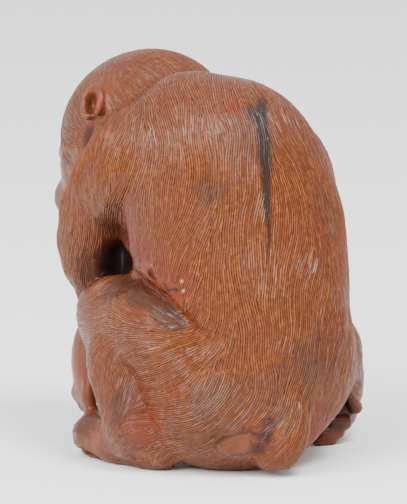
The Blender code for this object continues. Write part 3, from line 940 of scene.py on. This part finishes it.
class WoodSettings(bpy.types.PropertyGroup):
    """Colours of the stained wood."""

    ridge: colour("Ridge", "Worn top of a hair stroke on the back", (0.155, 0.034, 0.0045))
    pale: colour("Pale ridge", "Most worn strokes on the back", (0.27, 0.082, 0.018))
    groove: colour("Groove", "Stain between the strokes on the back", (0.024, 0.0055, 0.0015))
    rose: colour("Rose ridge", "Worn top of a stroke on the head and limbs", (0.152, 0.039, 0.014))
    pale_rose: colour("Pale rose", "Most worn strokes on the head and limbs", (0.24, 0.095, 0.045))
    rose_groove: colour("Rose groove", "Stain between strokes on the limbs", (0.034, 0.0095, 0.0045))
    # Painted shade for folds, hollows and gaps; the same colour is also the darker grain of bare skin and the
    # pad's rim
    shade_and_grain: colour("Crevice", "Redder wood in folds and hollows", (0.042, 0.009, 0.004))
    skin: colour("Bare skin", "Smooth wood of the face, hands and feet", (0.150, 0.040, 0.015))
    # Red wood is also painted shade on the flank beside the thigh fold
    red: colour("Red wood", "Patches rubbed down to redder wood", (0.180, 0.027, 0.008))
    grey: colour("Greyed wood", "Cooler, duller patches", (0.060, 0.028, 0.018))
    # The streak's colour is also the near-black painted shade of the deepest gaps
    streak: colour("Dark streak", "Dark mark down the back", (0.008, 0.0055, 0.005))
    chip: colour("Chip", "Small pale chips", (0.38, 0.17, 0.075))


class StudioSettings(bpy.types.PropertyGroup):
    """Floor, light and camera."""

    floor: colour("Floor", "Colour of the floor", (0.96, 0.96, 0.96))
    azimuth: angle("Camera azimuth", "Direction of the camera round the figure", 160.0)
    elevation: angle("Camera elevation", "Angle of the camera above level", 10.0)
    distance: length("Camera distance", "From the camera to the figure", 1.5)
    field: length("Picture height", "Height that the picture takes in at the figure", 0.1008)
    key: FloatProperty(name="Key light", description="Power of the large lamp", default=25.0, subtype="POWER",
                       unit="POWER")
    sky: FloatProperty(name="Sky", description="Strength of the light from all around", default=1.2, min=0.0)


def roughed_out(context, forms, field):
    """The figure's object: fine triangles on its bare skin, and even, larger ones where hair will be cut."""
    settings = context.scene.okimono_carving
    vertices, quads = net(field, GRID_LOW, settings.grid / MM)
    hairs = hair_sizes(forms, vertices) > HAIRY
    rough = np.random.default_rng(settings.seed).normal(size=vertices.shape) * hairs[:, None]
    mesh = bpy.data.meshes.new("monkey_net")
    mesh.from_pydata(((vertices + rough * ROUGH - DRAWN_MIDDLE) * MM).tolist(), [], quads.tolist())
    carving = bpy.data.objects.new("monkey_carving", mesh)
    context.scene.collection.objects.link(carving)
    hairy = carving.vertex_groups.new(name="hairy")
    hairy.add(np.flatnonzero(hairs).tolist(), 1.0, "REPLACE")
    smooth = carving.modifiers.new("smooth", "SMOOTH")
    smooth.iterations = settings.rounds
    smooth.factor = 0.5
    reduce = carving.modifiers.new("reduce", "DECIMATE")
    reduce.ratio = settings.fine_faces / (2 * len(quads))
    thin = carving.modifiers.new("thin", "DECIMATE")
    thin.vertex_group = hairy.name
    thin.ratio = settings.faces / settings.fine_faces
    carving.modifiers.new("triangles", "TRIANGULATE")
    split_long(made_plain(carving, context), settings.longest)
    return carving


def turn_flat(cut):
    """Turn the edges that lie badly on flat places."""
    flat = [edge for edge in cut.edges if edge.is_manifold and edge.calc_face_angle() < FLAT]
    bmesh.ops.beautify_fill(cut, faces=cut.faces, edges=flat, method="ANGLE")


def split_long(mesh, longest):
    """Split edges until none is much longer than wanted."""
    cut = bmesh.new()
    cut.from_mesh(mesh)
    turn_flat(cut)
    for _ in range(SPLIT_ROUNDS):
        long = [edge for edge in cut.edges if edge.calc_length() > longest]
        bmesh.ops.subdivide_edges(cut, edges=long, cuts=1)
        bmesh.ops.triangulate(cut, faces=[face for face in cut.faces if len(face.verts) > 3])
        turn_flat(cut)
    cut.to_mesh(mesh)
    cut.free()


def settled(mesh, forms, field, lines):
    """Put the hairy vertices back onto the field and the lowest on the floor; drawn places and normals."""
    points = read_values(mesh.vertices, "co") / MM + DRAWN_MIDDLE
    normals = read_values(mesh.vertices, "normal")
    off = np.clip(sampled(field, lines, points), -PUT_BACK, PUT_BACK) * (hair_sizes(forms, points) > HAIRY)
    points -= normals * (off * (points[:, 2] > PUT_BACK_ABOVE))[:, None]
    points[:, 2] = np.where(points[:, 2] < ON_FLOOR_BELOW, 0.0, points[:, 2])
    mesh.vertices.foreach_set("co", ((points - DRAWN_MIDDLE) * MM).ravel())
    mesh.update()
    return points, normals


class OKIMONO_OT_carve(bpy.types.Operator):
    """Carve the figure from its forms and keep where it is hairy or folded"""

    bl_idname = "okimono.carve"
    bl_label = "Carve the monkey"

    def execute(self, context):
        step = context.scene.okimono_carving.grid / MM
        forms = figure()
        field, lines = field_of(forms, GRID_LOW, GRID_HIGH, step)
        field = mended(np.maximum(field, -lines[2][None, None, :]), step)
        mesh = roughed_out(context, forms, field).data
        points, normals = settled(mesh, forms, field, lines)
        sizes = hair_sizes(forms, points) * (1 - patches("worn", points, normals).clip(0, 1))
        sizes *= 1 - TOP_WEAR * patches("top", points, normals).clip(0, 1)
        # How shut in each vertex lies, from which the wood is darkened as painted shade
        shut = [np.clip(1.0 - sampled(field, lines, points + normals * reach) / reach, 0.0, 1.0)
                for reach in CREASE_REACHES]
        attribute(mesh, "hair", sizes)
        attribute(mesh, "crease", np.mean(shut, axis=0))
        return {"FINISHED"}


def pairs_of(mesh):
    """Vertices at the two ends of each edge, the lower number first."""
    edges = np.empty(2 * len(mesh.edges), np.int32)
    mesh.edges.foreach_get("vertices", edges)
    return np.sort(edges.reshape(-1, 2).astype(int), axis=1)


def gathered(edges, first, second, total):
    """Sums at the vertices: first goes to each edge's start, second to its end."""
    if first.ndim > 1:
        return np.stack([gathered(edges, a, b, total) for a, b in zip(first.T, second.T)], axis=1)
    return np.bincount(edges[:, 0], first, total) + np.bincount(edges[:, 1], second, total)


def meeting(edges, total):
    """How many edges meet at each vertex."""
    return gathered(edges, np.ones(len(edges)), np.ones(len(edges)), total)


def evened(edges, values, rounds):
    """The values at the vertices, each run together with its neighbours'."""
    shares = 1 + meeting(edges, len(values))
    for _ in range(rounds):
        sums = values + gathered(edges, values[edges[:, 1]], values[edges[:, 0]], len(values))
        values = sums / (shares[:, None] if values.ndim > 1 else shares)
    return values


def agreed(edges, ways):
    """The ways, turned about so that neighbours agree; the best matches are joined first."""
    match = (ways[edges[:, 0]] * ways[edges[:, 1]]).sum(axis=1)
    parent = list(range(len(ways)))
    size = [1] * len(ways)
    about = [False] * len(ways)

    def root(place):
        turned_about = False
        while parent[place] != place:
            turned_about ^= about[place]
            place = parent[place]
        return place, turned_about

    for index in np.argsort(-np.abs(match)).tolist():
        first, first_about = root(int(edges[index, 0]))
        second, second_about = root(int(edges[index, 1]))
        if first == second:
            continue
        if size[first] > size[second]:
            first, second = second, first
        parent[first] = second
        size[second] += size[first]
        about[first] = first_about ^ second_about ^ bool(match[index] < 0)
    signs = np.array([-1.0 if root(place)[1] else 1.0 for place in range(len(ways))])
    return ways * signs[:, None]


def hair_lines(points, normals, edges, settings, chance):
    """Way of the hair at each vertex, combed, evened and straying a little."""
    lies = hair_ways(figure(), points / MM + DRAWN_MIDDLE, normals)
    for _ in range(settings.even_rounds):
        lies = laid(evened(edges, lies.reshape(-1, 9), 1).reshape(-1, 3, 3), normals)
    ways = agreed(edges, np.linalg.eigh(lies)[1][:, :, 2])
    stray = sum(evened(edges, chance.normal(size=len(points)), rounds) * math.sqrt(rounds)
                for rounds in STRAY_ROUNDS)
    stray *= settings.wander / stray.std()
    return ways * np.cos(stray)[:, None] + np.cross(normals, ways) * np.sin(stray)[:, None]


def turns_of(points, normals, edges, ways, hair, settings):
    """Angle by which the phase turns along each edge, a full turn from one groove to the next."""
    share = np.clip(settings.finest + (hair - 0.5) * 2 * (1 - settings.finest), settings.finest, 1.0)
    waves = np.cross(normals, ways) * (2 * math.pi / (settings.spacing * share))[:, None]
    along = points[edges[:, 1]] - points[edges[:, 0]]
    return ((waves[edges[:, 0]] + waves[edges[:, 1]]) / 2 * along).sum(axis=1)


def wrapped(angle):
    """The angle between minus and plus half a turn."""
    return (angle + math.pi) % (2 * math.pi) - math.pi


def phases_of(points, edges, turns, agree, rounds, chance):
    """Phase at each vertex that changes along each edge by its turns, as nearly as may be."""
    wave = np.exp(1j * chance.uniform(0, 2 * math.pi, len(points)))
    lengths = np.linalg.norm(points[edges[:, 1]] - points[edges[:, 0]], axis=1)
    weight = agree / np.maximum(lengths, 1e-5) ** 2
    step = np.exp(1j * turns)
    for _ in range(rounds):
        back = wave[edges[:, 1]] * np.conj(step) * weight
        ahead = wave[edges[:, 0]] * step * weight
        wave = (gathered(edges, back.real, ahead.real, len(wave))
                + 1j * gathered(edges, back.imag, ahead.imag, len(wave)))
        wave /= np.maximum(np.abs(wave), 1e-12)
    return np.angle(wave)


def edge_cuts(phase, edges, changes, hairy, chance):
    """Cuts where the phase along a hairy edge is a whole number of half turns: start, end, share, parity."""
    cuts = {}
    rows = []
    for (start, end), change, cut in zip(edges.tolist(), changes.tolist(), hairy.tolist()):
        if not cut:
            continue
        low, high = phase[start], phase[start] + change
        levels = range(math.floor(min(low, high) / math.pi) + 1, math.ceil(max(low, high) / math.pi))
        if change < 0:
            levels = reversed(levels)
        places = []
        for level in levels:
            share = (level + chance.uniform(-CUT_STRAY, CUT_STRAY)) * math.pi
            share = min(max((share - low) / change, CUT_MARGIN), 1 - CUT_MARGIN)
            places.append(len(phase) + len(rows))
            rows.append((start, end, share, level % 2))
        cuts[start, end] = places
    return cuts, np.array(rows)


def parted(chain, stops):
    """The chain in parts, without the stops between them."""
    parts = [[]]
    for item in chain:
        if item in stops:
            parts.append([])
        else:
            parts[-1].append(item)
    return parts


def fewer(chain, wanted):
    """The chain without its middle items, so that as many as wanted are left."""
    spare = len(chain) - wanted
    first = (wanted + 1) // 2
    return chain[:first] + chain[first + spare:]


def sides_of(triangle):
    """The three sides of a triangle as pairs of corners."""
    return list(zip(triangle, triangle[1:] + triangle[:1]))


def strips(triangle, change, cuts):
    """Pieces of one triangle between its lines, and its lines as pairs of points; none if they don't pair."""
    if not all(tuple(sorted(side)) in cuts for side in sides_of(triangle)):
        return [], []

    def rise(start, end):
        return change[start, end] if start < end else -change[end, start]

    def chain(start, end):
        return cuts[start, end] if start < end else cuts[end, start][::-1]

    for turn, order in enumerate(ORDERS):
        low, middle, high = (triangle[corner] for corner in order)
        if rise(low, middle) >= 0 and rise(middle, high) >= 0 and rise(low, high) >= 0:
            break
    else:
        return [], []
    left = chain(low, high)
    right_cuts = chain(low, middle) + chain(middle, high)
    right = chain(low, middle) + [middle] + chain(middle, high)
    if (len(left) + len(right_cuts)) % 2:
        return [], []
    shared = min(len(left), len(right_cuts))
    kept_left, kept_right = fewer(left, shared), fewer(right_cuts, shared)
    lines = list(zip(kept_left, kept_right))
    lefts, rights = parted(left, set(kept_left)), parted(right, set(kept_right))
    starts = [[low]] + [list(line) for line in lines]
    ends = [list(line[::-1]) for line in lines] + [[high]]
    pieces = [start + side + end + other[::-1]
              for start, side, end, other in zip(starts, rights, ends, lefts)]
    if turn > 2:
        pieces = [piece[::-1] for piece in pieces]
    return pieces, lines


def fan(triangle, cuts, centre):
    """The triangle with the cuts on its sides, as slices round a centre; none if it has no cuts."""
    ring = []
    for start, end in sides_of(triangle):
        chain = cuts.get((min(start, end), max(start, end)), [])
        ring += [start] + (chain if start < end else chain[::-1])
    return [(ring[turn - 1], ring[turn], centre) for turn in range(len(ring))] if len(ring) > 3 else []


def cut_faces(mesh, change, cuts, first_centre):
    """Faces between the lines, the lines as pairs of points, and the triangles cut to their centre."""
    faces = []
    lines = []
    centres = []
    for face in mesh.polygons:
        triangle = list(face.vertices)
        pieces, made = strips(triangle, change, cuts)
        if not pieces:
            pieces = fan(triangle, cuts, first_centre + len(centres))
            if pieces:
                centres.append(triangle)
        faces += pieces or [triangle]
        lines += made
    return faces, np.sort(lines, axis=1), np.array(centres, int).reshape(-1, 3)


def spread(values, rows, centres):
    """Values at the vertices, then at the cuts on the edges, then at the centres."""
    column = values.reshape(len(values), -1)
    start, end = rows[:, 0].astype(int), rows[:, 1].astype(int)
    share = rows[:, 2:3]
    new = column[start] * (1 - share) + column[end] * share
    return np.concatenate((column, new, column[centres].mean(axis=1))).reshape(-1, *values.shape[1:])


def ridges_of(phase, rows, centres, lines):
    """1 on a ridge and 0 in a groove, with 0.5 where a line ends."""
    ridge = np.concatenate((1 - np.abs(phase) / math.pi, 1 - rows[:, 3], np.full(len(centres), 0.5)))
    loose = (meeting(lines, len(ridge)) < 2) & (np.arange(len(ridge)) >= len(phase))
    return np.where(loose, 0.5, ridge)


def mark_relief(mesh, points, normals, lines, hair, crease, ridge, strength):
    """Keep at the vertices how deep they sink and what the stain reads, and make the lines sharp."""
    lifted = np.clip((points[:, 2] - FLOOR_MARGIN) / FLOOR_FADE, 0, 1)
    amount = np.clip((hair - HAIRY) / HAIR_FADE, 0, 1) * lifted
    groove = (1 - ridge) * (0.35 + 0.95 * strength) + ridge * 0.45 * (1 - strength)
    keys = pairs_of(mesh)
    sharp = np.isin(keys @ (len(points), 1), lines @ (len(points), 1))
    sharp &= amount[keys].min(axis=1) > SHARP_ABOVE
    mesh.attributes.new("sharp_edge", "BOOLEAN", "EDGE").data.foreach_set("value", sharp)
    attribute(mesh, "sunk", amount * (0.5 + 0.5 * hair) * groove)
    attribute(mesh, "ridge", ridge * amount + (1 - amount) * 0.6)
    attribute(mesh, "tone", strength)
    attribute(mesh, "bare", 1 - amount)
    attribute(mesh, "crease", crease)
    attribute(mesh, "size", hair)
    drawn = points / MM + DRAWN_MIDDLE
    for kind in COLOURED:
        attribute(mesh, kind, patches(kind, drawn, normals))
    away = np.linalg.norm((drawn - BACK_MIDDLE) / BACK_REACH, axis=1)
    attribute(mesh, "ochre", np.maximum(np.clip(BACK_END - away, 0, 1), patches("ochre", drawn, normals)))


class OKIMONO_OT_cut_hair(bpy.types.Operator):
    """Cut the hair into the figure, groove by groove along its way"""

    bl_idname = "okimono.cut_hair"
    bl_label = "Cut the hair"

    def execute(self, context):
        settings = context.scene.okimono_hair
        carving = bpy.data.objects["monkey_carving"]
        mesh = carving.data
        chance = np.random.default_rng(settings.seed)
        points = read_values(mesh.vertices, "co")
        normals = read_values(mesh.vertices, "normal")
        hair = read_values(mesh.attributes["hair"].data, "value", 1)[:, 0]
        crease = read_values(mesh.attributes["crease"].data, "value", 1)[:, 0]
        edges = pairs_of(mesh)
        ways = hair_lines(points, normals, edges, settings, chance)
        agree = (ways[edges[:, 0]] * ways[edges[:, 1]]).sum(axis=1) > LEAST_AGREEMENT
        turns = turns_of(points, normals, edges, ways, hair, settings)
        phase = phases_of(points, edges, turns, agree, settings.rounds, chance)
        changes = turns + wrapped(phase[edges[:, 1]] - phase[edges[:, 0]] - turns)
        above_floor = points[edges][:, :, 2].max(axis=1) > FLOOR_MARGIN
        hairy = (hair[edges].min(axis=1) > HAIRY) & above_floor & agree
        cuts, rows = edge_cuts(phase, edges, changes, hairy, chance)
        change = dict(zip(map(tuple, edges.tolist()), changes.tolist()))
        faces, lines, centres = cut_faces(mesh, change, cuts, len(points) + len(rows))
        kept = (points, normals, hair, crease)
        points, normals, hair, crease = (spread(values, rows, centres) for values in kept)
        strength = evened(lines, chance.normal(size=len(points)), settings.stroke_rounds)
        strength = np.clip(0.5 + strength / (STROKE_SPREAD * strength.std()), 0, 1)
        relief = bpy.data.meshes.new("monkey_relief")
        relief.from_pydata(points.tolist(), [], [tuple(face) for face in faces])
        relief.shade_smooth()
        ridge = ridges_of(phase, rows, centres, lines)
        mark_relief(relief, points, normals, lines, hair, crease, ridge, strength)
        carving.data = relief
        group, sockets = relief_tree()
        sink = carving.modifiers.new("relief", "NODES")
        sink.node_group = group
        sink[sockets["Depth"]] = settings.depth
        sink[sockets["Wood"]] = stained_wood()
        made_plain(carving, context)
        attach(carving, "root")
        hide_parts("monkey")
        return {"FINISHED"}


def floor_paint(tint):
    """Plain matt paint."""
    paint = bpy.data.materials.new("floor_paint")
    paint.use_nodes = True
    shader = paint.node_tree.nodes["Principled BSDF"]
    shader.inputs["Base Color"].default_value = (*tint, 1.0)
    shader.inputs["Roughness"].default_value = 0.9
    return paint


def camera_axes(azimuth, elevation):
    """Rightwards, upwards and backwards from the camera."""
    right = Vector((math.cos(azimuth), math.sin(azimuth), 0))
    back = Vector((math.sin(azimuth) * math.cos(elevation), -math.cos(azimuth) * math.cos(elevation),
                   math.sin(elevation)))
    return right, back.cross(right), back


class OKIMONO_OT_studio(bpy.types.Operator):
    """Set the floor, the lights and the camera"""

    bl_idname = "okimono.studio"
    bl_label = "Set the studio"

    def execute(self, context):
        settings = context.scene.okimono_studio
        target = Vector(PICTURE_TARGET)
        corners = [(x * FLOOR_HALF, y * FLOOR_HALF, 0) for x, y in ((-1, -1), (1, -1), (1, 1), (-1, 1))]
        mesh = bpy.data.meshes.new("floor")
        mesh.from_pydata(corners, [], [(0, 1, 2, 3)])
        mesh.materials.append(floor_paint(settings.floor))
        floor = bpy.data.objects.new("floor", mesh)
        context.scene.collection.objects.link(floor)
        world = bpy.data.worlds.new("studio_sky")
        world.use_nodes = True
        sky = world.node_tree.nodes["Background"]
        sky.inputs["Color"].default_value = (1.0, 1.0, 1.0, 1.0)
        sky.inputs["Strength"].default_value = settings.sky
        context.scene.world = world
        for name, offset, size, share in LAMPS:
            light = bpy.data.lights.new(name, "AREA")
            light.energy = settings.key * share
            light.size = size
            lamp = bpy.data.objects.new(name, light)
            lamp.location = target + Vector(offset)
            lamp.rotation_euler = Vector(offset).to_track_quat("Z", "Y").to_euler()
            context.scene.collection.objects.link(lamp)
        right, up, back = camera_axes(settings.azimuth, settings.elevation)
        lens = bpy.data.cameras.new("camera")
        lens.sensor_width = SENSOR
        lens.lens = SENSOR * settings.distance / settings.field
        camera = bpy.data.objects.new("camera", lens)
        turned_to = Matrix((right, up, back)).transposed().to_4x4()
        camera.matrix_world = Matrix.Translation(target + back * settings.distance) @ turned_to
        context.scene.collection.objects.link(camera)
        context.scene.camera = camera
        return {"FINISHED"}


class OKIMONO_PT_panel(bpy.types.Panel):
    """Lists the steps that make the okimono"""

    bl_label = "Okimono"
    bl_idname = "OKIMONO_PT_panel"
    bl_space_type = "VIEW_3D"
    bl_region_type = "UI"
    bl_category = "Okimono"

    def draw(self, context):
        for step in STEPS:
            self.layout.operator(step.bl_idname)
        for name in SETTINGS:
            group = getattr(context.scene, name)
            for key in group.bl_rna.properties.keys():
                if key not in {"rna_type", "name"}:
                    self.layout.prop(group, key)


STEPS = (OKIMONO_OT_carve, OKIMONO_OT_cut_hair, OKIMONO_OT_studio)
SETTINGS = {"okimono_carving": CarvingSettings, "okimono_hair": HairSettings, "okimono_wood": WoodSettings,
            "okimono_studio": StudioSettings}
CLASSES = (*SETTINGS.values(), *STEPS, OKIMONO_PT_panel)


def register():
    for part in CLASSES:
        bpy.utils.register_class(part)
    for name, group in SETTINGS.items():
        setattr(bpy.types.Scene, name, PointerProperty(type=group))


def unregister():
    for name in SETTINGS:
        delattr(bpy.types.Scene, name)
    for part in reversed(CLASSES):
        bpy.utils.unregister_class(part)


def main():
    """Make every piece: carve the figure, cut its hair and set the studio."""
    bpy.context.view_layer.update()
    register()
    bpy.ops.okimono.carve()
    bpy.ops.okimono.cut_hair()
    bpy.ops.okimono.studio()


if __name__ == "__main__":
    main()
